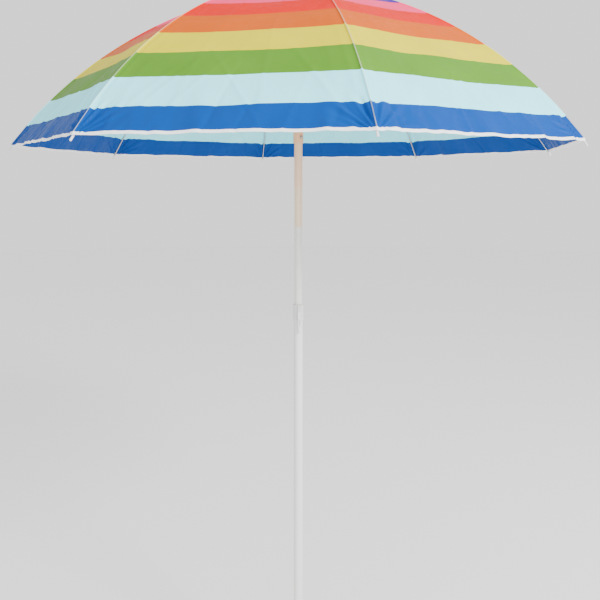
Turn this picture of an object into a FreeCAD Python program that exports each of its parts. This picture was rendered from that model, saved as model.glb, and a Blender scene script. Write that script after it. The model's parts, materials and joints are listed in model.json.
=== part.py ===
import FreeCAD, Part
import math
import os

# Beach umbrella, open, millimetres. Z is the pole's axis, z = 0 the point of the ground spike.
# Rib 1 points along -Y, and the ribs go round toward +X. The lock lever is on the -Y side.
V = FreeCAD.Vector
UP = V(0, 0, 1)
BACK = V(0, 1, 0)
RIGHT = V(1, 0, 0)

# Overall sizes
rib_count = 8
hem_radius = 760.0  # hem corner from the pole's axis
hem_z = 1515.0
crown_slope = 7.6  # the rib's fall at the crown, in degrees from level
hem_slope = 54.4  # and at the hem

# Gaps
joint_gap = 0.3
running_clear = 0.3
slot_clear = 0.5
tuck = 0.1  # a joined bar ends this far inside the round one, so no faces only touch

# Upper pole in two tubes with the tilt joint between them
mast_d = 22.0
mast_wall = 0.9
top_tube_wall = 0.5
top_tube_d = mast_d + 2 * top_tube_wall
top_tube_z = hem_z - 107
tilt_tube_top_z = hem_z - 15
tilt_z = hem_z - 200
tilt_skirt = 15.0  # tube below the tilt pin
tilt_pin_d = 5.5
tilt_pin_recess = 0.7
link_bore = mast_d - 2 * mast_wall - 0.2  # the link's corners lie on this circle
link_thick = 0.6 * link_bore
link_width = 0.8 * link_bore
link_depth = 78.0  # link below the tilt pin
link_rivet_d = 4.0

# Ribs and their crown hub
rod_d = 3.6
rib_thick = 2.4  # the rod's flattened end
rib_eye_r = 3.4
rib_rise = 4.0  # the rod's line above its pivot
rib_root = 10.0  # the flattened end's length
rib_overhang = 9.0  # rod past the hem
wire_d = 2.0  # the ring that the eyes turn on
hub_wall = 2.0
hub_skirt_d = top_tube_d + 2 * hub_wall
hub_skirt_length = 42.0
rib_pivot_r = hub_skirt_d / 2 + 2.5
hub_r = rib_pivot_r + 4
hub_below = 6.0  # the notched rim below its ring
hub_taper = 5.0
hub_flange = 3.2
hub_floor = 3.0  # the tube stops this far below the ring
hub_slot_below = 18.0
tip_cap_d = rod_d + 1.3
tip_cap_length = 17.0
tip_cap_bore_depth = 13.0

# Canopy
cloth = 0.8
cloth_gap = 0.3  # above the clips
vent_r = 6.5  # the hole for the finial's stem
finial_stem_r = 5.0
finial_stem_length = 22.0
finial_r = hub_r - 1
finial_height = 34.0
# The finial above its rounded foot, as radius and height over the seat: a skirt, a waist and a knob
finial_profile = (
    (finial_r - 0.5, 5.0),
    (finial_r - 5, 8.5),
    (8.0, 11.0),
    (6.0, 16.0),
    (6.6, 22.0),
    (5.6, 29.0),
    (3.0, finial_height - 0.8),
    (0.0, finial_height),
)

# Collar and its lock lever
pole_wall = 1.0
pole_d = mast_d + 2 * (slot_clear + pole_wall)
collar_wall = 1.7
collar_d = pole_d + 2 * collar_wall
collar_bottom_z = hem_z - 474
collar_top_z = collar_bottom_z + 44
collar_chamfer = 1.5
lever_width = 9.4
lever_top_z = collar_top_z - 1
lever_foot_z = collar_bottom_z - 33
lever_thick = 3.4
lever_pivot_z = collar_bottom_z + 13
lever_pin_d = 2.4
lock_pin_d = 4.6
lock_pin_z = collar_bottom_z - 28
grip_ridges = 3
grip_ridge_r = 1.3
cheek_thick = 1.6
cheek_half = 6.0
pocket_depth = collar_wall  # room behind the grip
relief_depth = 0.8  # room behind the tongue
spring_wire_d = 0.8
spring_d = 4.2
spring_turns = 4
spring_below = 13.0  # the spring's axis below the lever's top

# Lower pole, swaged in a little where the collar and the lever are
pole_top_z = collar_bottom_z + 7
neck_z = collar_bottom_z - 37
neck_depth = 0.4
spike_height = 120.0
spike_d = pole_d - 0.4
spike_tip_r = 2.0
spike_tip_rise = 3.0
spike_band = 14.0  # the straight part under the pole
spike_plug_length = 40.0

# Height holes, and the plug in the mast's foot
hole_d = 5.6
hole_pitch = 50.0
hole_count = 5
mast_bottom_z = collar_bottom_z - 481
foot_clear = 0.1
foot_length = 30.0
foot_flange = 5.0
foot_wall = 2.0

# Runner, its catch and the stretchers
runner_z = hem_z + 75  # the stretchers' ring
runner_bottom_z = hem_z + 17
runner_clear = 0.5
runner_wall = 2.0
runner_skirt_d = top_tube_d + 2 * (runner_clear + runner_wall)
runner_ring_r = runner_skirt_d / 2 + 4
runner_rim_r = runner_ring_r + 5
runner_rim_below = 5.0
runner_rim_above = 4.4
runner_taper = 8.0
catch_z = hem_z + 34
catch_turn = 0.5  # half a gore round from rib 1
catch_d = 6.0
catch_head_d = 7.6
catch_head = 1.0
catch_travel = 1.6
stretcher_d = 4.0
stretcher_thick = 2.0
stretcher_eye_r = 3.4
stretcher_flat = 14.0  # each flattened end
clip_arc = 350.0  # along the rib from its pivot
clip_drop = 9.0  # the stretcher's upper pivot below the rod's line
clip_length = 14.0
clip_wall = 0.5
clip_ear_r = 5.0
rivet_d = 3.0
rivet_head_d = 5.6
rivet_head = 0.9


def cylinder(radius, length, at, along=UP):
    return Part.makeCylinder(radius, length, at, along)


def tube(outer_d, wall, z0, z1):
    body = cylinder(outer_d / 2, z1 - z0, V(0, 0, z0))
    return body.cut(cylinder(outer_d / 2 - wall, z1 - z0 + 2, V(0, 0, z0 - 1)))


def box(x0, x1, y0, y1, z0, z1):
    return Part.makeBox(x1 - x0, y1 - y0, z1 - z0, V(x0, y0, z0))


def plate(wire, thick):
    """A flat plate of that outline in the rib's plane, half on each side of it."""
    face = Part.Face(wire)
    face.translate(V(0, -thick / 2, 0))
    return face.extrude(V(0, thick, 0))


def turned(points):
    """A solid of revolution about the pole's axis, from (radius, z) corners."""
    corners = [V(r, 0, z) for r, z in points]
    return Part.Face(Part.makePolygon(corners + corners[:1])).revolve(V(0, 0, 0), UP, 360)


def ring(radius, wire_diameter, z):
    return Part.makeTorus(radius, wire_diameter / 2, V(0, 0, z), UP)


def placed(shape, index):
    """A shape made along +X, turned to the rib of that index."""
    return shape.rotated(V(0, 0, 0), UP, -90 + index * 360 / rib_count)


def lobe(x0, z0, r0, x1, z1, r1, thick):
    """Two round ends joined by a straight-sided bar, in the rib's plane."""
    away = V(x1 - x0, 0, z1 - z0)
    away.normalize()
    side = V(-away.z, 0, away.x)
    a, b = V(x0, 0, z0), V(x1, 0, z1)
    corners = [a + side * r0, b + side * r1, b - side * r1, a - side * r0]
    bar = plate(Part.makePolygon(corners + corners[:1]), thick)
    ends = [cylinder(r, thick, at - V(0, thick / 2, 0), BACK) for at, r in ((a, r0), (b, r1))]
    return bar.fuse(ends).removeSplitter()


def save(name, shape):
    shape.exportStep("parts/" + name + ".step")


# The rib's line is one arc, from the crown's slope to the hem's, measured in the rib's plane
s0 = math.radians(crown_slope)
s1 = math.radians(hem_slope)
cloth_in = rod_d / 2 + clip_wall + cloth_gap
cloth_out = cloth_in + cloth
arc_r = (hem_radius - rib_pivot_r - cloth_out * math.sin(s1)) / (math.sin(s1) - math.sin(s0))
arc_x = rib_pivot_r - arc_r * math.sin(s0)
arc_z = hem_z - (arc_r + cloth_out) * math.cos(s1)
rib_z = arc_z + arc_r * math.cos(s0) - rib_rise  # height of the rib pivots
rib_arc = arc_r * (s1 - s0)


def on_arc(length, out=0.0):
    """The point that far along the rib's line, moved outward from it."""
    s = s0 + length / arc_r
    return V(arc_x + (arc_r + out) * math.sin(s), 0, arc_z + (arc_r + out) * math.cos(s))


def slope_at(length):
    s = s0 + length / arc_r
    return V(math.cos(s), 0, -math.sin(s))


def rod_along(start, end, radius):
    """A round rod that follows the rib's line between two lengths along it."""
    disc = Part.Face(Part.Wire(Part.Circle(on_arc(start), slope_at(start), radius).toShape()))
    return disc.revolve(V(arc_x, 0, arc_z), BACK, math.degrees((end - start) / arc_r))


def make_rib():
    a = on_arc(rib_root)
    eye = lobe(rib_pivot_r, rib_z, rib_eye_r, a.x, a.z, rod_d / 2 - tuck, rib_thick)
    rod = rod_along(rib_root, rib_arc + rib_overhang, rod_d / 2)
    bore = cylinder(wire_d / 2 + running_clear, 10, V(rib_pivot_r, -5, rib_z), BACK)
    return eye.fuse(rod).cut(bore)


def clip_pivot():
    return on_arc(clip_arc, -clip_drop)


def make_clip():
    """A folded steel saddle round the rod, with one ear for the stretcher and its short rivet."""
    sleeve = rod_along(clip_arc - clip_length / 2, clip_arc + clip_length / 2, rod_d / 2 + clip_wall)
    p = clip_pivot()
    a = on_arc(clip_arc)
    ear = lobe(p.x, p.z, clip_ear_r, a.x, a.z, rod_d / 2 + clip_wall - tuck, rod_d)
    room = rod_along(clip_arc - clip_length, clip_arc + clip_length, rod_d / 2)
    bore = cylinder(rivet_d / 2, 20, p - V(0, 10, 0), BACK)
    saddle = sleeve.cut(room).fuse(ear.cut(room)).cut(bore)
    pin = cylinder(rivet_d / 2, rod_d, p - V(0, rod_d / 2, 0), BACK)
    head = cylinder(rivet_head_d / 2, rivet_head, p - V(0, rod_d / 2 + rivet_head, 0), BACK)
    return Part.makeCompound([saddle, pin.fuse(head)])


def make_tip_cap():
    """A moulded sleeve on the rod's end, closed by a ball."""
    end = rib_arc + rib_overhang
    start = end - tip_cap_bore_depth
    tip = on_arc(end)
    run = slope_at(end)
    extra = tip_cap_length - tip_cap_bore_depth - tip_cap_d / 2
    cap = rod_along(start, end, tip_cap_d / 2)
    cap = cap.fuse(cylinder(tip_cap_d / 2, extra, tip, run))
    cap = cap.fuse(Part.makeSphere(tip_cap_d / 2, tip + run * extra))
    return cap.cut(rod_along(start - 1, end, rod_d / 2))


# Each gore is flat across, so it is its middle line carried straight sideways
half_gore = math.pi / rib_count


def gore_band():
    """The cloth's section in the middle of a gore, as a face in the XZ plane."""
    start = (math.asin((vent_r - arc_x) / (arc_r + cloth_in)) - s0) * arc_r
    lengths = [start + (rib_arc - start) * k / 8 for k in range(9)]
    lines = []
    for out in (cloth_in, cloth_out):
        points = [on_arc(a, out) for a in lengths]
        narrowed = [V(p.x * math.cos(half_gore), 0, p.z) for p in points]
        curve = Part.BSplineCurve()
        curve.interpolate(narrowed)
        lines.append((curve.toShape(), narrowed))
    (inner, low), (outer, high) = lines
    ends = [Part.makeLine(low[0], high[0]), Part.makeLine(low[-1], high[-1])]
    return Part.Face(Part.Wire(Part.__sortEdges__([inner, ends[1], outer, ends[0]])))


def make_sector():
    """The cloth that belongs to one rib, to the middle of the gore on each side."""
    reach = hem_radius * 1.2
    gore = gore_band().extrude(V(0, reach, 0)).rotated(V(0, 0, 0), UP, -math.degrees(half_gore))
    corners = [V(joint_gap, 0, 0), V(reach, 0, 0), V(reach, -(reach - joint_gap) * math.tan(half_gore), 0)]
    keep = Part.Face(Part.makePolygon(corners + corners[:1])).extrude(V(0, 0, hem_z + hem_radius))
    half = gore.common(keep)
    other = half.mirror(V(0, 0, 0), BACK)
    sector = half.fuse(other).removeSplitter()
    return sector.cut(cylinder(vent_r, 400, V(0, 0, rib_z - 100)))


def notches(z0, z1, inner_r, width, offset=0.0):
    cuts = []
    for index in range(rib_count):
        slot = box(inner_r, 60, offset - width / 2, offset + width / 2, z0, z1)
        cuts.append(placed(slot, index))
    return cuts


def make_hub():
    """A moulded crown: a skirt on the tube, a notched rim with a ring groove and a flat top."""
    top = rib_z + wire_d / 2 + running_clear + hub_flange
    low = rib_z - hub_below
    skirt_r = hub_skirt_d / 2
    bore_r = top_tube_d / 2
    hub = turned(
        [
            (finial_stem_r, rib_z - hub_floor),
            (finial_stem_r, top),
            (hub_r, top),
            (hub_r, low),
            (skirt_r, low - hub_taper),
            (skirt_r, low - hub_skirt_length),
            (bore_r, low - hub_skirt_length),
            (bore_r, rib_z - hub_floor),
        ]
    )
    groove_in = rib_pivot_r - wire_d / 2
    groove = turned(
        [
            (groove_in, rib_z - wire_d / 2),
            (hub_r + 1, rib_z - wire_d / 2),
            (hub_r + 1, rib_z + wire_d / 2),
            (groove_in, rib_z + wire_d / 2),
        ]
    )
    width = rib_thick + 2 * slot_clear
    slots = notches(rib_z - hub_slot_below, top + 1, rib_pivot_r - rib_eye_r - slot_clear, width)
    return hub.cut(groove).cut(Part.makeCompound(slots))


def make_finial():
    """A domed screw cap that holds the cloth down on the crown, with its stem in the hub."""
    seat = on_arc(0, cloth_out).z + joint_gap + rib_pivot_r * math.tan(s0) / 2
    foot = [(0, seat), (finial_r - 1.5, seat), (finial_r, seat + 1.5)]
    dome = turned(foot + [(r, seat + height) for r, height in finial_profile])
    stem = cylinder(finial_stem_r, finial_stem_length, V(0, 0, seat - finial_stem_length))
    return dome.fuse(stem)


def make_top_tube():
    """The tube that carries the crown, with the hole for the runner's catch."""
    shape = tube(top_tube_d, top_tube_wall, top_tube_z, rib_z - hub_floor)
    hole = cylinder(catch_d / 2 + slot_clear, top_tube_d, V(0, 0, catch_z), RIGHT)
    return shape.cut(placed(hole, catch_turn))


def make_tilt_tube():
    """The tilting tube: its end is rounded about the pin at the back and slotted for the link."""
    low = tilt_z - tilt_skirt
    shape = tube(mast_d, mast_wall, low, tilt_tube_top_z)
    heel_r = tilt_skirt - joint_gap * 2
    back = box(-mast_d, mast_d, 0, mast_d, low - 1, tilt_z)
    round_heel = cylinder(heel_r, 2 * mast_d, V(-mast_d, 0, tilt_z), RIGHT)
    shape = shape.cut(back.cut(round_heel))
    slot = box(-link_thick / 2 - slot_clear, link_thick / 2 + slot_clear, 0, mast_d, low - 1, tilt_z + 4)
    shape = shape.cut(slot)
    return shape.cut(cylinder(tilt_pin_d / 2, 2 * mast_d, V(-mast_d, 0, tilt_z), RIGHT))


def link_rivet_heights():
    return [tilt_z - tilt_skirt - 18, tilt_z - link_depth + 12]


def make_link():
    """A flat link with a round head on the tilt pin, riveted down inside the lower tube."""
    t = link_thick / 2
    w = link_width / 2
    head = cylinder(w, link_thick, V(-t, 0, tilt_z), RIGHT)
    link = head.fuse(box(-t, t, -w, w, tilt_z - link_depth, tilt_z)).removeSplitter()
    bore_r = tilt_pin_d / 2 + running_clear / 3
    link = link.cut(cylinder(bore_r, 2 * mast_d, V(-mast_d, 0, tilt_z), RIGHT))
    for z in link_rivet_heights():
        link = link.cut(cylinder(link_rivet_d / 2, 2 * mast_d, V(-mast_d, 0, z), RIGHT))
    return link


def make_tilt_pin():
    half = mast_d / 2 - tilt_pin_recess
    return cylinder(tilt_pin_d / 2, 2 * half, V(-half, 0, tilt_z), RIGHT)


def make_link_rivets():
    half = mast_d / 2 - tilt_pin_recess / 2
    pins = [cylinder(link_rivet_d / 2, 2 * half, V(-half, 0, z), RIGHT) for z in link_rivet_heights()]
    return Part.makeCompound(pins)


def make_mast():
    """The sliding tube: riveted to the link at the top and with the row of height holes in front."""
    top = tilt_z - tilt_skirt - joint_gap
    shape = tube(mast_d, mast_wall, mast_bottom_z, top)
    for z in link_rivet_heights():
        shape = shape.cut(cylinder(link_rivet_d / 2, 2 * mast_d, V(-mast_d, 0, z), RIGHT))
    for index in range(hole_count):
        z = lock_pin_z - index * hole_pitch
        shape = shape.cut(cylinder(hole_d / 2, mast_d, V(0, -mast_d, z), BACK))
    return shape


def make_foot_plug():
    """A moulded plug in the mast's lower end, whose flange guides it in the lower pole."""
    low = mast_bottom_z - foot_flange
    flange_r = pole_d / 2 - pole_wall - foot_clear
    core_r = mast_d / 2 - mast_wall
    bore_r = core_r - foot_wall
    return turned(
        [
            (bore_r, low),
            (flange_r, low),
            (flange_r, mast_bottom_z),
            (core_r, mast_bottom_z),
            (core_r, mast_bottom_z + foot_length),
            (bore_r, mast_bottom_z + foot_length),
        ]
    )


def neck_r():
    return pole_d / 2 - neck_depth


def make_pole():
    """The lower tube, with its swaged neck and the slot for the lock pin."""
    inner = pole_d / 2 - pole_wall
    shape = turned(
        [
            (inner, spike_height),
            (pole_d / 2, spike_height),
            (pole_d / 2, neck_z),
            (neck_r(), neck_z),
            (neck_r(), pole_top_z),
            (inner, pole_top_z),
        ]
    )
    slot_r = lock_pin_d / 2 + slot_clear
    upper = cylinder(slot_r, pole_d, V(0, -pole_d, lock_pin_z), BACK)
    lower = cylinder(slot_r, pole_d, V(0, -pole_d, lock_pin_z - 5), BACK)
    web = box(-slot_r, slot_r, -pole_d, 0, lock_pin_z - 5, lock_pin_z)
    return shape.cut(Part.makeCompound([upper, lower, web]))


def make_spike():
    """A solid ground point with a plug that fills the pole's lower end."""
    plug_r = pole_d / 2 - pole_wall
    return turned(
        [
            (0, 0),
            (spike_tip_r, spike_tip_rise),
            (spike_d / 2, spike_height - spike_band),
            (spike_d / 2, spike_height),
            (plug_r, spike_height),
            (plug_r, spike_height + spike_plug_length),
            (0, spike_height + spike_plug_length),
        ]
    )


def lever_y():
    return -collar_d / 2 - lever_thick / 2 - joint_gap


def make_collar():
    """The clamp collar: a sleeve on the pole, a guide for the mast and two cheeks for the lever."""
    r = collar_d / 2
    guide_r = mast_d / 2 + running_clear
    sleeve = turned(
        [
            (neck_r(), collar_bottom_z),
            (r, collar_bottom_z),
            (r, collar_top_z - collar_chamfer),
            (r - collar_chamfer, collar_top_z),
            (guide_r, collar_top_z),
            (guide_r, pole_top_z),
            (neck_r(), pole_top_z),
        ]
    )
    inner = lever_width / 2 + joint_gap
    outer = inner + cheek_thick
    front = lever_y() - 0.5
    for side in (-1, 1):
        x0, x1 = sorted((side * inner, side * outer))
        low, high = lever_pivot_z - cheek_half, lever_pivot_z + cheek_half
        cheek = box(x0, x1, front, -pole_d / 2 - 0.3, low, high)
        sleeve = sleeve.fuse(cheek)
    sleeve = sleeve.cut(cylinder(neck_r(), pole_top_z - collar_bottom_z, V(0, 0, collar_bottom_z)))
    pocket_y = -r + pocket_depth
    pocket = box(-inner, inner, -r - 1, pocket_y, lever_pivot_z + 3, collar_top_z + 1)
    relief = box(-inner, inner, -r - 1, -r + relief_depth, collar_bottom_z - 1, lever_pivot_z - 2)
    pin = cylinder(lever_pin_d / 2, 4 * r, V(-2 * r, lever_y(), lever_pivot_z), RIGHT)
    return sleeve.cut(pocket).cut(relief).cut(pin)


def make_lever():
    """A rocker: grip ridges on top, a tongue that narrows downward and a lock pin at its foot."""
    y = lever_y()
    w = lever_width / 2
    back = y + lever_thick / 2
    grip = box(-w, w, back - lever_thick, back, lever_pivot_z - 8, lever_top_z)
    corners = [(-w, lever_pivot_z - 8), (w, lever_pivot_z - 8), (w * 0.55, lever_foot_z + 2)]
    corners += [(0.0, lever_foot_z), (-w * 0.55, lever_foot_z + 2)]
    outline = [V(x, back - lever_thick, z) for x, z in corners]
    tongue = Part.Face(Part.makePolygon(outline + outline[:1])).extrude(V(0, lever_thick, 0))
    lever = grip.fuse(tongue)
    pitch = (lever_top_z - lever_pivot_z - 8) / (grip_ridges + 0.5)
    for index in range(grip_ridges):
        z = lever_top_z - 3.5 - index * pitch
        ridge = cylinder(grip_ridge_r, lever_width, V(-w, back - lever_thick, z), RIGHT)
        lever = lever.fuse(ridge)
    tip_y = -mast_d / 2 - running_clear
    peg = cylinder(lock_pin_d / 2, tip_y - back + 0.5, V(0, back - 0.5, lock_pin_z), BACK)
    bore = cylinder(lever_pin_d / 2 + running_clear / 3, 60, V(-30, y, lever_pivot_z), RIGHT)
    seat = cylinder(spring_d / 2 + slot_clear, 1.6, V(0, back - 1.5, lever_top_z - spring_below), BACK)
    recess = [(-w * 0.6, lever_pivot_z - 10), (w * 0.6, lever_pivot_z - 10), (0.0, lever_pivot_z - 26)]
    dip = [V(x, back - lever_thick - 1, z) for x, z in recess]
    dip = Part.Face(Part.makePolygon(dip + dip[:1])).extrude(V(0, 2.2, 0))
    return lever.fuse(peg).cut(bore).cut(seat).cut(dip)


def make_lever_pin():
    half = lever_width / 2 + joint_gap + cheek_thick
    return cylinder(lever_pin_d / 2, 2 * half, V(-half, lever_y(), lever_pivot_z), RIGHT)


def make_lever_spring():
    """The coil behind the grip: round wire on a helix."""
    y0 = lever_y() + lever_thick / 2 - 1.3
    y1 = -collar_d / 2 + pocket_depth
    pitch = (y1 - y0 - spring_wire_d) / (spring_turns - 1)
    radius = (spring_d - spring_wire_d) / 2
    helix = Part.makeHelix(pitch, pitch * (spring_turns - 1), radius)
    start = V(radius, 0, 0)
    disc = Part.Wire(Part.Circle(start, V(0, 1, 0), spring_wire_d / 2).toShape())
    coil = Part.Wire(helix).makePipeShell([disc], True, True)
    coil.rotate(V(0, 0, 0), RIGHT, -90)
    coil.translate(V(0, y0 + spring_wire_d / 2, lever_top_z - spring_below))
    return coil


def stretcher_y():
    """How far to the side of its rib a stretcher lies, so that the two can pass."""
    return rod_d / 2 + clip_wall + joint_gap + stretcher_d / 2


def stretcher_foot():
    side = stretcher_y()
    return V(math.sqrt(runner_ring_r ** 2 - side ** 2), side, runner_z)


def make_runner():
    """A moulded runner: a skirt with a catch window, and a rim with notches and a ring groove."""
    bore_r = top_tube_d / 2 + runner_clear
    skirt_r = runner_skirt_d / 2
    low = runner_z - runner_rim_below
    top = runner_z + runner_rim_above
    runner = turned(
        [
            (bore_r, runner_bottom_z),
            (skirt_r, runner_bottom_z),
            (skirt_r, low - runner_taper),
            (runner_rim_r, low),
            (runner_rim_r, top),
            (bore_r, top),
        ]
    )
    groove_in = runner_ring_r - wire_d / 2
    groove = turned(
        [
            (groove_in, runner_z - wire_d / 2),
            (runner_rim_r + 1, runner_z - wire_d / 2),
            (runner_rim_r + 1, runner_z + wire_d / 2),
            (groove_in, runner_z + wire_d / 2),
        ]
    )
    width = stretcher_thick + 2 * slot_clear
    inner = stretcher_foot().x - stretcher_eye_r - slot_clear
    low_cut = runner_z - stretcher_eye_r - slot_clear
    slots = notches(low_cut, top + 1, inner, width, stretcher_y())
    window = placed(cylinder(catch_d / 2 + slot_clear / 2, 40, V(0, 0, catch_z), RIGHT), catch_turn)
    return runner.cut(groove).cut(Part.makeCompound(slots)).cut(window)


def make_catch():
    """A push button in the runner's skirt, its nose just clear of the hole in the tube."""
    nose = top_tube_d / 2 + running_clear
    head = runner_skirt_d / 2 + catch_travel + joint_gap
    stem = cylinder(catch_d / 2, head - nose, V(nose, 0, catch_z), RIGHT)
    cap = cylinder(catch_head_d / 2, catch_head, V(head, 0, catch_z), RIGHT)
    dome = Part.makeSphere(catch_head_d / 2, V(head + catch_head - catch_head_d * 0.3, 0, catch_z))
    dome = dome.common(box(head + catch_head, head + 20, -20, 20, catch_z - 20, catch_z + 20))
    return placed(stem.fuse(cap).fuse(dome).removeSplitter(), catch_turn)


def make_stretcher():
    """A round rod with both ends flattened, an eye on the runner's ring and one on the clip."""
    side = stretcher_y()
    foot = stretcher_foot()
    top = clip_pivot()
    run = V(top.x - foot.x, 0, top.z - foot.z)
    length = run.Length
    run.normalize()
    flat = stretcher_flat
    rod = cylinder(stretcher_d / 2, length - 2 * flat, V(foot.x, 0, foot.z) + run * flat, run)
    ends = []
    for at, way in ((V(foot.x, 0, foot.z), run), (top, run * -1)):
        far = at + way * (flat + 3)
        ends.append(lobe(at.x, at.z, stretcher_eye_r, far.x, far.z, stretcher_d / 2 - tuck, stretcher_thick))
    shape = rod.fuse(ends)
    wire_room = wire_d / 2 + 2 * running_clear
    shape = shape.cut(cylinder(wire_room, 10, V(foot.x, -5, foot.z), BACK))
    shape = shape.cut(cylinder(rivet_d / 2, 10, top - V(0, 5, 0), BACK))
    pin = cylinder(rivet_d / 2, stretcher_d, top - V(0, stretcher_d / 2, 0), BACK)
    heads = []
    for y in (-stretcher_d / 2, stretcher_d / 2 - rivet_head):
        heads.append(cylinder(rivet_head_d / 2, rivet_head, top + V(0, y, 0), BACK))
    both = Part.makeCompound([shape.removeSplitter(), pin.fuse(heads).removeSplitter()])
    both.translate(V(0, side, 0))
    return both


os.makedirs("parts", exist_ok=True)

rib = make_rib()
clip = make_clip()
tip_cap = make_tip_cap()
sector = make_sector()
stretcher = make_stretcher()
for index in range(rib_count):
    number = str(index + 1)
    save("rib_" + number, placed(rib, index))
    save("rib_clip_" + number, placed(clip, index))
    save("tip_cap_" + number, placed(tip_cap, index))
    save("canopy_gore_" + number, placed(sector, index))
    save("stretcher_" + number, placed(stretcher, index))

save("finial_cap", make_finial())
save("crown_hub", make_hub())
save("crown_ring", ring(rib_pivot_r, wire_d, rib_z))
save("top_tube", make_top_tube())
save("tilt_tube", make_tilt_tube())
save("tilt_link", make_link())
save("tilt_pin", make_tilt_pin())
save("link_rivets", make_link_rivets())
save("mast_tube", make_mast())
save("mast_foot_plug", make_foot_plug())
save("runner", make_runner())
save("runner_ring", ring(runner_ring_r, wire_d, runner_z))
save("catch_button", make_catch())
save("lower_pole", make_pole())
save("ground_spike", make_spike())
save("collar", make_collar())
save("lock_lever", make_lever())
save("lever_pin", make_lever_pin())
save("lever_spring", make_lever_spring())
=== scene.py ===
import bpy
import json
import math
import numpy as np
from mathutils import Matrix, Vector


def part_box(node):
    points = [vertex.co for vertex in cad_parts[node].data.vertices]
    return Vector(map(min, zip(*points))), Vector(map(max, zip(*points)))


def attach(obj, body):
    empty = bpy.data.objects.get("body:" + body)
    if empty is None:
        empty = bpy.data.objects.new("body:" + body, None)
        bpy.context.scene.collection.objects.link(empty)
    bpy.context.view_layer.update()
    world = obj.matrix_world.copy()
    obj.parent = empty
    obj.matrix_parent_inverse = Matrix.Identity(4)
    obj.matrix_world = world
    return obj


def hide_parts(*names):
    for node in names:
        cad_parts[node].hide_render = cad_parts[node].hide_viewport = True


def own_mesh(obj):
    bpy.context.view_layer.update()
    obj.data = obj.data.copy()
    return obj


# Beach umbrella. Z is the pole, rib 1 and the lock lever point along -Y, metres throughout.
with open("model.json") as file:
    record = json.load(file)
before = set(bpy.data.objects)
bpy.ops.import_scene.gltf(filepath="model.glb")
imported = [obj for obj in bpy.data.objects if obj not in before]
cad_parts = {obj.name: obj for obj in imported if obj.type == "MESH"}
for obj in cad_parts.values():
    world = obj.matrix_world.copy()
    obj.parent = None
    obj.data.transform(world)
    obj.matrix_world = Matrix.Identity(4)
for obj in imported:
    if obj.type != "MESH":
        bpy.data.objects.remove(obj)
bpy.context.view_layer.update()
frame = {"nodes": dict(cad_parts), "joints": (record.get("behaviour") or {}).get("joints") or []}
mm = 0.001
print("frame loaded", len(frame["nodes"]), "nodes")


def linear(hexColour):
    # sRGB hex to linear: below 0.04045 a straight line, above it a 2.4 power
    channels = [int(hexColour[i:i + 2], 16) / 255 for i in (1, 3, 5)]
    return [x / 12.92 if x <= 0.04045 else ((x + 0.055) / 1.055) ** 2.4 for x in channels] + [1.0]


def newMaterial(name):
    mat = bpy.data.materials.new(name)
    mat.use_nodes = True
    mat.node_tree.nodes.clear()
    return mat, mat.node_tree


def addNode(tree, kind, inputs=None, **settings):
    # one node with its settings; an input is a value, or (node, output) for a link
    n = tree.nodes.new(kind)
    for key, value in settings.items():
        setattr(n, key, value)
    for key, value in (inputs or {}).items():
        if isinstance(value, tuple) and isinstance(value[0], bpy.types.Node):
            tree.links.new(value[0].outputs[value[1]], n.inputs[key])
        else:
            n.inputs[key].default_value = value
    return n


def finish(tree, shader):
    addNode(tree, "ShaderNodeOutputMaterial", {"Surface": (shader, 0)})


def meshFromGrid(name, points, uv=None, closeAcross=False, flip=False):
    # points is rows x columns x 3; each cell is one quad
    rows, cols = points.shape[:2]
    index = np.arange(rows * cols).reshape(rows, cols)
    if closeAcross:
        index = np.hstack([index, index[:, :1]])
    quads = np.stack([index[:-1, :-1], index[:-1, 1:], index[1:, 1:], index[1:, :-1]], -1).reshape(-1, 4)
    if flip:
        quads = quads[:, ::-1]
    mesh = bpy.data.meshes.new(name)
    mesh.from_pydata(points.reshape(-1, 3), [], quads.tolist())
    mesh.update()
    if uv is not None:
        layer = mesh.uv_layers.new(name="cloth")
        loops = np.zeros(len(mesh.loops), np.int32)
        mesh.loops.foreach_get("vertex_index", loops)
        layer.data.foreach_set("uv", uv.reshape(-1, 2)[loops].astype(np.float32).ravel())
    mesh.polygons.foreach_set("use_smooth", np.ones(len(mesh.polygons), bool))
    obj = bpy.data.objects.new(name, mesh)
    bpy.context.collection.objects.link(obj)
    return obj


ribCount = sum(name.startswith("rib_hinge") for name in (j["name"] for j in frame["joints"]))
halfGore = math.pi / ribCount
goreLow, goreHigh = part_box("canopy_gore_1")

canopy = {
    "hemRadius": -goreLow[1],
    "hemHeight": goreLow[2],
    "crownSlope": math.radians(7.6),  # the rib's fall at its pivot
    "hemSlope": math.radians(54.4),
    "pivotRadius": math.hypot(*next(j for j in frame["joints"] if j["name"] == "rib_hinge_1")["pos_m"][:2]),
    "ventRadius": 7.0 * mm,
    "sag": 5.0 * mm,  # the cloth pulls in between two ribs
    "foldedWidth": 0.16,  # of the open width, when the frame is shut
    "halfColumns": 72,
    "rows": 230,
    "seed": 41,
}

c = canopy
outerArc = (c["hemRadius"] - c["pivotRadius"]) / (math.sin(c["hemSlope"]) - math.sin(c["crownSlope"]))
arcCentre = (c["pivotRadius"] - outerArc * math.sin(c["crownSlope"]),
             c["hemHeight"] - outerArc * math.cos(c["hemSlope"]))
ventAngle = math.asin((c["ventRadius"] - arcCentre[0]) / outerArc)
clothLength = outerArc * (c["hemSlope"] - ventAngle)  # from the vent to the hem, along a rib


def ribLine(up):
    # the rib's line on the cloth, by the distance up from the hem: one circular arc
    angle = c["hemSlope"] - up / outerArc
    return arcCentre[0] + outerArc * np.sin(angle), arcCentre[1] + outerArc * np.cos(angle), angle


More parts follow.
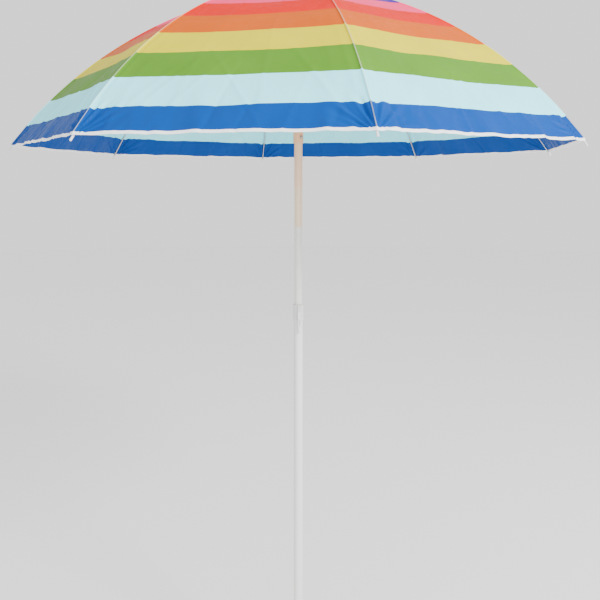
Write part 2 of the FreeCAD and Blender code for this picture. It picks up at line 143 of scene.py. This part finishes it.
folds = {
    "hemWaves": ((127, 2.4, 120), (83, 1.7, 85), (47, 0.7, 50)),  # length, height and reach up, in mm
    "seamHold": 9 * mm,  # the cloth lies still this close to a seam
    "sharpCreases": 6,
    "creaseWidth": (3.5, 7),  # least and most, in mm
    "creaseHeight": (1.2, 2.4),
    "creaseReach": (70, 170),
    "rays": 15,  # waves round a corner, in radians of wave to a radian of corner
    "fineRays": 27,
    "rayHeight": 5.8 * mm,
    "cornerSize": 42 * mm,  # the rays are highest this far from the corner
    "cornerWidth": 62 * mm,
    "bandTop": 82 * mm,
    "bandBlend": 9 * mm,
    "cornerDrop": 6 * mm,  # the rays meet this far below the hem
    "pullIn": 3.0 * mm,
    "pullPlace": (16 * mm, 45 * mm),  # from the seam, and up from the hem
    "pullSpread": (13 * mm, 34 * mm),
    "runHeight": 1.3 * mm,
    "runLength": 33 * mm,
    "puckerHeight": 0.45 * mm,
    "puckerLength": 19 * mm,
    "pullLines": 3,
    "pullHeight": 1.1 * mm,
    "slackWaves": 4,
    "slackHeight": 0.75 * mm,
    "packAlong": 0.9 * mm,
    "packAcross": 0.5 * mm,
    "packPlaces": (0.17, 0.39, 0.6),  # metres up from the hem
    "seamHeight": 2.6 * mm,
    "seamWidth": 2.6 * mm,
    "dyeDrift": 3.2 * mm,
}


def pleats(x, sharp):
    # a wave whose crests are narrower than its hollows
    return (0.5 + 0.5 * np.cos(x)) ** sharp - 0.35


def gore(number):
    # the whole gore between rib number and the next: flat across, arched along its middle line,
    # then moved along its normal by sag, hem waves, corner folds, seam puckers and packing creases
    f = folds
    n = c["halfColumns"]
    t = np.linspace(0, 1, n + 1)
    ease = t * t * (3 - 2 * t)  # columns close together at the seam and in the middle
    u = np.concatenate([ease - 1, (1 - ease[::-1])[1:]])  # -1 at one rib, 1 at the next
    v = np.linspace(0, 1, c["rows"] + 1)
    up = clothLength * (0.35 * (1 - v) + 0.65 * (1 - v) ** 2)  # rows close together at the hem
    share, rise = np.meshgrid(u, up)
    r, z, angle = ribLine(rise)
    half = r * math.sin(halfGore)
    side = share * half
    fromRib = half - np.abs(side)
    rng = np.random.default_rng(c["seed"] + number)
    window = 1 - np.exp(-(fromRib / f["seamHold"]) ** 2)
    inner = np.clip(fromRib / np.maximum(half, 1e-6), 0, 1)

    h = -c["sag"] * (1 - share ** 2) * np.sin(np.pi * np.clip(rise / clothLength, 0, 1)) ** 0.7

    # hem waves: three lengths of wave that die away upward
    for length, size, reach in f["hemWaves"]:
        phase = rng.uniform(0, 2 * np.pi)
        lean = rng.uniform(-0.25, 0.25)
        wave = pleats(2 * np.pi * (side + lean * rise) / (length * mm) + phase, 2.4)
        h = h + size * mm * wave * np.exp(-(rise / (reach * mm)) ** 1.5) * window

    # sharp creases that run up from the hem
    for place in np.linspace(-0.8, 0.8, f["sharpCreases"]) + rng.uniform(-0.09, 0.09, f["sharpCreases"]):
        lean = rng.uniform(-0.35, 0.35)
        line = (side - place * half - lean * rise) / (rng.uniform(*f["creaseWidth"]) * mm)
        crease = np.exp(-np.abs(line) ** 1.5) * rng.choice([-1, 1])
        height = rng.uniform(*f["creaseHeight"]) * mm
        h = h + height * crease * np.exp(-(rise / (rng.uniform(*f["creaseReach"]) * mm)) ** 2)

    # corner folds: rays from each rib tip that reach to the top of the hem band
    for edge in (-1, 1):
        a = half - edge * side
        rho = np.sqrt(a ** 2 + (rise + f["cornerDrop"]) ** 2)
        phi = np.arctan2(rise + f["cornerDrop"], np.maximum(a, 1e-6))
        phase = rng.uniform(0, 2 * np.pi)
        grow = (rho / f["cornerSize"]) ** 0.8 * np.exp(0.8 - 0.8 * rho / f["cornerSize"])
        rays = pleats(phi * f["rays"] + phase + 1.3 * np.sin(3 * phi + phase), 2.6)
        rays = rays + 0.55 * pleats(phi * f["fineRays"] + 2 * phase + np.sin(5 * phi), 1.6)
        inBand = 1 / (1 + np.exp((rise - f["bandTop"]) / f["bandBlend"]))
        near = np.exp(-(a / f["cornerWidth"]) ** 2)
        atHem = 0.3 + 0.7 * (1 - np.exp(-rise / (20 * mm)))
        h = h + f["rayHeight"] * rays * atHem * grow * inBand * near * window
        # the gathered cloth pulls in between the rays
        pull = np.exp(-((a - f["pullPlace"][0]) / f["pullSpread"][0]) ** 2)
        pull = pull * np.exp(-((rise - f["pullPlace"][1]) / f["pullSpread"][1]) ** 2)
        h = h - f["pullIn"] * pull
        # long soft folds that run up beside the seam
        run = pleats(2 * np.pi * a / f["runLength"] + phase, 2.0) * np.exp(-a / (38 * mm))
        h = h + f["runHeight"] * run * window * np.exp(-((rise - 150 * mm) / (330 * mm)) ** 2)
        # seam puckers: short waves along the seam
        wander = 1.5 * np.sin(rise / (61 * mm) + phase)
        pucker = np.sin(2 * np.pi * (rise + 0.5 * a) / f["puckerLength"] + wander)
        h = h + f["puckerHeight"] * pucker * np.exp(-a / (13 * mm)) * window
        # straight pull lines that leave the seam at a slant and run down to the hem
        for start in rng.uniform(30, 210, f["pullLines"]) * mm:
            line = (a - (start + 0.34 * rise)) / (5.5 * mm)
            fade = np.exp(-((rise - 90 * mm) / (150 * mm)) ** 2)
            h = h + f["pullHeight"] * np.exp(-line ** 2) * fade * window

    # broad slack, a few slow waves over the whole gore
    for k in range(f["slackWaves"]):
        lx, ly = rng.uniform(150, 330, 2) * mm
        phase = rng.uniform(0, 2 * np.pi, 2)
        slow = np.sin(2 * np.pi * side / lx + phase[0]) * np.sin(2 * np.pi * rise / ly + phase[1])
        h = h + f["slackHeight"] * slow * inner ** 0.6

    # packing creases: sharp shallow lines, two along the gore and three across it
    for place in rng.uniform(-0.62, 0.62, 2):
        line = np.abs(side - place * half - 0.02 * (rise - 0.3))
        h = h + f["packAlong"] * np.exp(-line / (5 * mm)) * window * np.clip((clothLength - rise) / 0.3, 0, 1)
    for place in f["packPlaces"]:
        line = np.abs(rise - place - rng.uniform(-0.02, 0.02) - 0.05 * side)
        h = h - f["packAcross"] * np.exp(-line / (4 * mm)) * window

    # the seam: a rolled ridge along the rib, raised on the rib's own normal
    seam = f["seamHeight"] * np.exp(-(fromRib / f["seamWidth"]) ** 2) * np.clip(rise / (8 * mm), 0.25, 1)
    seam = seam * np.clip((clothLength - rise) / (60 * mm), 0, 1)

    middle = -math.pi / 2 + (2 * number + 1) * halfGore
    out = np.array([math.cos(middle), math.sin(middle), 0])
    across = np.array([-math.sin(middle), math.cos(middle), 0])
    nearRib = np.where(side < 0, middle - halfGore, middle + halfGore)
    tangent = np.cos(angle) * math.cos(halfGore), np.sin(angle)
    size = np.sqrt(tangent[0] ** 2 + tangent[1] ** 2)
    normalOut, normalUp = tangent[1] / size, tangent[0] / size
    reach = r * math.cos(halfGore) + normalOut * h
    points = reach[..., None] * out + side[..., None] * across
    points[..., 2] = z + normalUp * h
    points[..., 0] += seam * np.sin(angle) * np.cos(nearRib)
    points[..., 1] += seam * np.sin(angle) * np.sin(nearRib)
    points[..., 2] += seam * np.cos(angle)
    # the dye line wanders a little where the cloth is gathered
    drift = f["dyeDrift"] * np.sin(fromRib / (8.5 * mm)) * np.exp(-fromRib / (34 * mm))
    drift = drift * np.exp(-((rise - 70 * mm) / (30 * mm)) ** 2)
    drift = drift + 0.9 * mm * np.sin(side / (41 * mm) + 3 * number) * np.sin(rise / (60 * mm))
    return points, np.stack([side, rise + drift], -1)


gores = [gore(k) for k in range(ribCount)]


def sectorGrid(k):
    # the cloth on rib k: half of the gore before it and half of the gore after it
    n = c["halfColumns"]
    before, after = gores[k - 1], gores[k]
    points = np.concatenate([before[0][:, n:], after[0][:, 1:n + 1]], 1)
    # across counts from the seam, negative before it
    half = after[1][:, :1, 0]
    left = before[1][:, n:].copy()
    right = after[1][:, 1:n + 1].copy()
    left[..., 0] += half
    right[..., 0] -= half
    return points, np.concatenate([left, right], 1)


def gridNormals(points):
    down = np.gradient(points, axis=0)
    along = np.gradient(points, axis=1)
    normal = np.cross(down, along)
    return normal / np.maximum(np.linalg.norm(normal, axis=-1, keepdims=True), 1e-12)


bands = {
    "first": 70 * mm,  # the hem band, tape included
    "pitch": 85.6 * mm,
    "colours": ["#07428e", "#92f2ff", "#558626", "#ccbf00", "#c45600", "#d01000",
                "#f0306c", "#4a2790", "#07428e", "#92f2ff", "#558626"],
}


def makeCloth():
    # printed polyester taffeta: smooth, a little satin, its plain weave only just seen
    mat, t = newMaterial("polyesterTaffeta")
    uv = addNode(t, "ShaderNodeUVMap", uv_map="cloth")
    xy = addNode(t, "ShaderNodeSeparateXYZ", {0: (uv, 0)})
    share = addNode(t, "ShaderNodeMath", {0: (xy, 1), 1: clothLength}, operation="DIVIDE")
    ramp = addNode(t, "ShaderNodeValToRGB", {0: (share, 0)})
    ramp.color_ramp.interpolation = "CONSTANT"
    stops = ramp.color_ramp.elements
    for i, colour in enumerate(bands["colours"]):
        at = 0.0 if i == 0 else (bands["first"] + (i - 1) * bands["pitch"]) / clothLength
        stop = stops[0] if i == 0 else stops[1] if i == 1 else stops.new(at)
        stop.position = at
        stop.color = linear(colour)
    # uneven dye: a slow mottle of a few percent
    mottle = addNode(t, "ShaderNodeTexNoise", {"Vector": (uv, 0), "Scale": 9.0, "Detail": 5.0})
    shade = addNode(t, "ShaderNodeMapRange", {0: (mottle, 0), 1: 0.3, 2: 0.7, 3: 0.94, 4: 1.05})
    tint = addNode(t, "ShaderNodeHueSaturation", {"Color": (ramp, 0), "Value": (shade, 0)})
    # painted highlight: a pale line either side of the rib stands in for the light caught on the seam ridge
    onSeam = addNode(t, "ShaderNodeMath", {0: (xy, 0), 1: 0.0, 2: 1.3 * mm}, operation="COMPARE")
    seamHighlightShare = addNode(t, "ShaderNodeMath", {0: (onSeam, 0), 1: 0.3}, operation="MULTIPLY")
    seamHighlit = addNode(t, "ShaderNodeMix", {
        0: (seamHighlightShare, 0), 6: (tint, 0), 7: linear("#f4f1d8"),
    }, data_type="RGBA")
    # weave: real threads are 0.3 mm apart, drawn at 1.1 mm so that they show
    threads = 2 * math.pi / (1.1 * mm)
    warp = addNode(t, "ShaderNodeMath", {0: (xy, 0), 1: threads}, operation="MULTIPLY")
    weft = addNode(t, "ShaderNodeMath", {0: (xy, 1), 1: threads}, operation="MULTIPLY")
    warpWave = addNode(t, "ShaderNodeMath", {0: (warp, 0)}, operation="SINE")
    weftWave = addNode(t, "ShaderNodeMath", {0: (weft, 0)}, operation="SINE")
    weave = addNode(t, "ShaderNodeMath", {0: (warpWave, 0), 1: (weftWave, 0)}, operation="MULTIPLY")
    # fine crumple from being rolled up
    crumple = addNode(t, "ShaderNodeTexNoise", {
        "Vector": (uv, 0), "Scale": 46.0, "Detail": 4.0, "Distortion": 1.2,
    })
    weaveBump = addNode(t, "ShaderNodeBump", {"Strength": 0.10, "Distance": 0.1 * mm, "Height": (weave, 0)})
    bumped = addNode(t, "ShaderNodeBump", {"Strength": 0.35, "Distance": 0.9 * mm, "Height": (crumple, 0),
                                           "Normal": (weaveBump, 0)})
    gloss = addNode(t, "ShaderNodeMapRange", {0: (crumple, 0), 1: 0.3, 2: 0.7, 3: 0.42, 4: 0.55})
    shader = addNode(t, "ShaderNodeBsdfPrincipled", {
        "Base Color": (seamHighlit, 2), "Roughness": (gloss, 0), "Normal": (bumped, 0), "IOR": 1.5,
        "Specular IOR Level": 0.06,
    })
    finish(t, shader)
    return mat


def makeTape():
    # grosgrain binding: cross ribs 0.8 mm apart, drawn at 1.6 mm, and one row of stitches
    mat, t = newMaterial("whiteGrosgrain")
    uv = addNode(t, "ShaderNodeUVMap", uv_map="cloth")
    xy = addNode(t, "ShaderNodeSeparateXYZ", {0: (uv, 0)})
    ribs = addNode(t, "ShaderNodeMath", {0: (xy, 0), 1: 2 * math.pi / (1.6 * mm)}, operation="MULTIPLY")
    ribWave = addNode(t, "ShaderNodeMath", {0: (ribs, 0)}, operation="SINE")
    stitch = addNode(t, "ShaderNodeMath", {0: (xy, 0), 1: 2 * math.pi / (4.0 * mm)}, operation="MULTIPLY")
    stitchWave = addNode(t, "ShaderNodeMath", {0: (stitch, 0)}, operation="SINE")
    rowPlace = addNode(t, "ShaderNodeMath", {0: (xy, 1), 1: 5.2 * mm, 2: 0.55 * mm}, operation="COMPARE")
    dashes = addNode(t, "ShaderNodeMath", {0: (stitchWave, 0), 1: -0.35}, operation="GREATER_THAN")
    row = addNode(t, "ShaderNodeMath", {0: (rowPlace, 0), 1: (dashes, 0)}, operation="MULTIPLY")
    height = addNode(t, "ShaderNodeMath", {0: (row, 0), 1: -2.5, 2: (ribWave, 0)}, operation="MULTIPLY_ADD")
    soil = addNode(t, "ShaderNodeTexNoise", {"Vector": (uv, 0), "Scale": 30.0, "Detail": 4.0})
    colour = addNode(t, "ShaderNodeMix", {
        0: (soil, 0), 6: linear("#fbfbfa"), 7: linear("#eef0f2"),
    }, data_type="RGBA")
    bumped = addNode(t, "ShaderNodeBump", {"Strength": 0.35, "Distance": 0.25 * mm, "Height": (height, 0)})
    shader = addNode(t, "ShaderNodeBsdfPrincipled", {
        "Base Color": (colour, 2), "Roughness": 0.62, "Normal": (bumped, 0), "Sheen Weight": 0.25,
    })
    finish(t, shader)
    return mat


def makePaint(name, bright, worn):
    # powder-coated steel: a soft gloss with orange peel about 2 mm across and a few rubbed streaks
    mat, t = newMaterial(name)
    place = addNode(t, "ShaderNodeTexCoord")
    peel = addNode(t, "ShaderNodeTexNoise", {"Vector": (place, "Object"), "Scale": 480.0, "Detail": 2.0})
    longer = addNode(t, "ShaderNodeMapping", {"Vector": (place, "Object"), "Scale": (90, 90, 3.0)})
    streak = addNode(t, "ShaderNodeTexNoise", {"Vector": (longer, 0), "Scale": 1.0, "Detail": 6.0})
    colour = addNode(t, "ShaderNodeMix", {
        0: (streak, 0), 6: linear(bright), 7: linear(worn),
    }, data_type="RGBA")
    rough = addNode(t, "ShaderNodeMapRange", {0: (streak, 0), 1: 0.3, 2: 0.7, 3: 0.24, 4: 0.4})
    bumped = addNode(t, "ShaderNodeBump", {"Strength": 0.12, "Distance": 0.15 * mm, "Height": (peel, 0)})
    shader = addNode(t, "ShaderNodeBsdfPrincipled", {
        "Base Color": (colour, 2), "Roughness": (rough, 0), "Normal": (bumped, 0),
        "Coat Weight": 0.2, "Coat Roughness": 0.2,
    })
    finish(t, shader)
    return mat


def makePlastic(name, bright, dull):
    # moulded polypropylene: matt with a fine spark-eroded grain and faint flow marks
    mat, t = newMaterial(name)
    place = addNode(t, "ShaderNodeTexCoord")
    grain = addNode(t, "ShaderNodeTexVoronoi", {"Vector": (place, "Object"), "Scale": 1500.0})
    flow = addNode(t, "ShaderNodeTexNoise", {"Vector": (place, "Object"), "Scale": 60.0, "Detail": 3.0})
    # painted shade: the colour turns grey in the corners, within about 5 mm of the next surface
    corner = addNode(t, "ShaderNodeAmbientOcclusion", {"Distance": 5 * mm}, samples=8)
    cornerShadeShare = addNode(t, "ShaderNodeMapRange", {0: (corner, "AO"), 1: 0.35, 2: 0.95, 3: 0.75, 4: 0.0})
    colour = addNode(t, "ShaderNodeMix", {0: (flow, 0), 6: linear(bright), 7: linear(dull)}, data_type="RGBA")
    cornerShaded = addNode(t, "ShaderNodeMix", {
        0: (cornerShadeShare, 0), 6: (colour, 2), 7: linear("#8d8a82"),
    }, data_type="RGBA")
    rough = addNode(t, "ShaderNodeMapRange", {0: (flow, 0), 1: 0.3, 2: 0.7, 3: 0.38, 4: 0.5})
    bumped = addNode(t, "ShaderNodeBump", {"Strength": 0.15, "Distance": 0.08 * mm, "Height": (grain, 0)})
    shader = addNode(t, "ShaderNodeBsdfPrincipled", {
        "Base Color": (cornerShaded, 2), "Roughness": (rough, 0), "Normal": (bumped, 0),
    })
    finish(t, shader)
    return mat


def makeZinc():
    # zinc-plated steel: grey, drawn along its length, with dull patches where the plating is thin
    mat, t = newMaterial("zincPlatedSteel")
    place = addNode(t, "ShaderNodeTexCoord")
    patches = addNode(t, "ShaderNodeTexNoise", {"Vector": (place, "Object"), "Scale": 130.0, "Detail": 5.0})
    fine = addNode(t, "ShaderNodeTexNoise", {"Vector": (place, "Object"), "Scale": 2400.0, "Detail": 2.0})
    colour = addNode(t, "ShaderNodeMix", {
        0: (patches, 0), 6: linear("#c9cbce"), 7: linear("#a9acb1"),
    }, data_type="RGBA")
    rough = addNode(t, "ShaderNodeMapRange", {0: (patches, 0), 1: 0.3, 2: 0.7, 3: 0.28, 4: 0.46})
    bumped = addNode(t, "ShaderNodeBump", {"Strength": 0.12, "Distance": 0.05 * mm, "Height": (fine, 0)})
    shader = addNode(t, "ShaderNodeBsdfPrincipled", {
        "Base Color": (colour, 2), "Roughness": (rough, 0), "Normal": (bumped, 0), "Metallic": 1.0,
    })
    finish(t, shader)
    return mat


def makeFloor():
    # matt pale paint on the studio floor
    mat, t = newMaterial("studioFloorPaint")
    place = addNode(t, "ShaderNodeTexCoord")
    roller = addNode(t, "ShaderNodeTexNoise", {"Vector": (place, "Object"), "Scale": 40.0})
    bumped = addNode(t, "ShaderNodeBump", {"Strength": 0.05, "Distance": 1 * mm, "Height": (roller, 0)})
    shader = addNode(t, "ShaderNodeBsdfPrincipled", {
        "Base Color": linear("#fbfbfb"), "Roughness": 0.8, "Normal": (bumped, 0),
    })
    finish(t, shader)
    return mat


cloth, tape, zinc = makeCloth(), makeTape(), makeZinc()
paints = {
    "lower_pole": makePaint("whitePowderCoat", "#e6e6e5", "#dadad9"),
    "mast_tube": makePaint("greyWhitePowderCoat", "#e3e3dd", "#d7d7d1"),
    # painted light: the tilt tube and the top tube are tinted warm, more so nearer the canopy, in place of
    # the light the coloured cloth throws onto them
    "tilt_tube": makePaint("powderCoatPaintedWarmLightFaint", "#ecd8b9", "#e0cbac"),
    "top_tube": makePaint("powderCoatPaintedWarmLight", "#f2d2b2", "#e6c5a5"),
}
plastic = makePlastic("whitePolypropylene", "#dedfde", "#d0d2d2")
# painted light: the runner's cream tint stands in for warm light from the canopy falling on white plastic
plastics = {"runner": makePlastic("polypropylenePaintedWarmLight", "#f6cba0", "#ebbd90")}
print("materials made")


hemTape = {"width": 7 * mm, "thickness": 0.6 * mm, "clear": 0.25 * mm, "rows": 4}


def tapeGrid(points, uv):
    # a folded strip: up the outside of the hem, round its edge and up the inside
    normal = gridNormals(points)
    up = uv[:, :1, 1]
    wanted = np.linspace(hemTape["width"], 0, hemTape["rows"] + 1)

    def level(height):
        i = np.searchsorted(-up[:, 0], -height)
        i = min(max(i, 1), len(up) - 1)
        f = (up[i - 1, 0] - height) / max(up[i - 1, 0] - up[i, 0], 1e-9)
        return [a[i - 1] * (1 - f) + a[i] * f for a in (points, normal, uv)]

    strips, marks = [], []
    lift = 0.5 * hemTape["thickness"]
    for height in wanted:
        p, q, m = level(height)
        strips.append(p + q * (lift + hemTape["clear"]))
        marks.append(np.stack([m[:, 0], np.full(len(m), height)], -1))
    p, _, m = level(0)
    drop = points[-1] - points[-2]
    drop = drop / np.linalg.norm(drop, axis=-1, keepdims=True)
    strips.append(p + drop * (lift + 0.5 * mm))
    marks.append(np.stack([m[:, 0], np.zeros(len(m))], -1))
    for height in wanted[::-1]:
        p, q, m = level(height)
        strips.append(p - q * (lift + hemTape["clear"]))
        marks.append(np.stack([m[:, 0], np.full(len(m), height)], -1))
    return np.stack(strips), np.stack(marks)


for k in range(ribCount):
    number = str(k + 1)
    points, uv = sectorGrid(k)
    panel = meshFromGrid("canopy_cloth_" + number, points, uv)
    panel.data.materials.append(cloth)
    strip, marks = tapeGrid(points, uv)
    hem = meshFromGrid("hem_tape_" + number, strip, marks)
    hem.data.materials.append(tape)
    for piece in (panel, hem):
        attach(piece, "rib_assembly_" + number)
        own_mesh(piece)
    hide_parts("canopy_gore_" + number)


moulded = ("collar", "lock_lever", "runner", "crown_hub", "finial_cap", "mast_foot_plug", "ground_spike",
           "tip_cap")
for name, obj in frame["nodes"].items():
    if name.startswith("canopy_gore"):
        continue
    mat = plastic if name.startswith(moulded) else zinc
    mat = plastics.get(name, paints.get(name, mat))
    obj.data.materials.clear()
    obj.data.materials.append(mat)
# the spring gets a mesh of its own, and its bounds are read
springLow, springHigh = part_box("lever_spring")
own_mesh(frame["nodes"]["lever_spring"])
print("frame finished")


studio = {
    "distance": 1.985,
    "azimuth": math.radians(-10.4),
    "height": c["hemHeight"] - 91 * mm,
    "lens": 42.77,  # on a 36 mm sensor
    "shiftX": 0.0028,
    "shiftY": -0.196,
    "floorRadius": 14.0,
    "sky": 1.35,
    "lights": (  # name, place, what it aims at, diameter, watts
        ("key", (2.4, -3.4, 3.4), (0, 0, 1.7), 1.2, 320),
        ("fill", (-0.6, -4.6, 1.5), (0, 0, 1.3), 2.0, 80),
    ),
}


def makeCamera():
    s = studio
    data = bpy.data.cameras.new("camera")
    data.lens = s["lens"]
    data.sensor_width = 36
    data.shift_x = s["shiftX"]
    data.shift_y = s["shiftY"]
    data.clip_end = 60
    camera = bpy.data.objects.new("camera", data)
    bpy.context.collection.objects.link(camera)
    aside, back = math.sin(s["azimuth"]), -math.cos(s["azimuth"])
    camera.location = (aside * s["distance"], back * s["distance"], s["height"])
    camera.rotation_euler = (math.pi / 2, 0, s["azimuth"])
    bpy.context.scene.camera = camera


def makeFloorDisc():
    # rings from the middle outward, flat
    turn = np.linspace(0, 2 * np.pi, 96, endpoint=False)
    radius = np.array([0.0005, 0.5, 2, 6, studio["floorRadius"]])
    points = np.zeros((len(radius), len(turn), 3))
    points[..., 0] = radius[:, None] * np.cos(turn)
    points[..., 1] = radius[:, None] * np.sin(turn)
    floor = meshFromGrid("studio_floor", points, closeAcross=True)
    floor.data.materials.append(makeFloor())


def makeLight(name, place, aim, size, power):
    data = bpy.data.lights.new(name, "AREA")
    data.shape = "DISK"
    data.size = size
    data.energy = power
    light = bpy.data.objects.new(name, data)
    bpy.context.collection.objects.link(light)
    way = np.array(aim, float) - np.array(place, float)
    light.location = place
    dip = math.atan2(math.hypot(way[0], way[1]), -way[2])
    light.rotation_euler = (dip, 0, math.atan2(way[1], way[0]) - math.pi / 2)


world = bpy.data.worlds.new("studio")
world.use_nodes = True
world.node_tree.nodes["Background"].inputs[0].default_value = (1, 1, 1, 1)
world.node_tree.nodes["Background"].inputs[1].default_value = studio["sky"]
bpy.context.scene.world = world
makeCamera()
makeFloorDisc()
for light in studio["lights"]:
    makeLight(*light)
print("studio made")
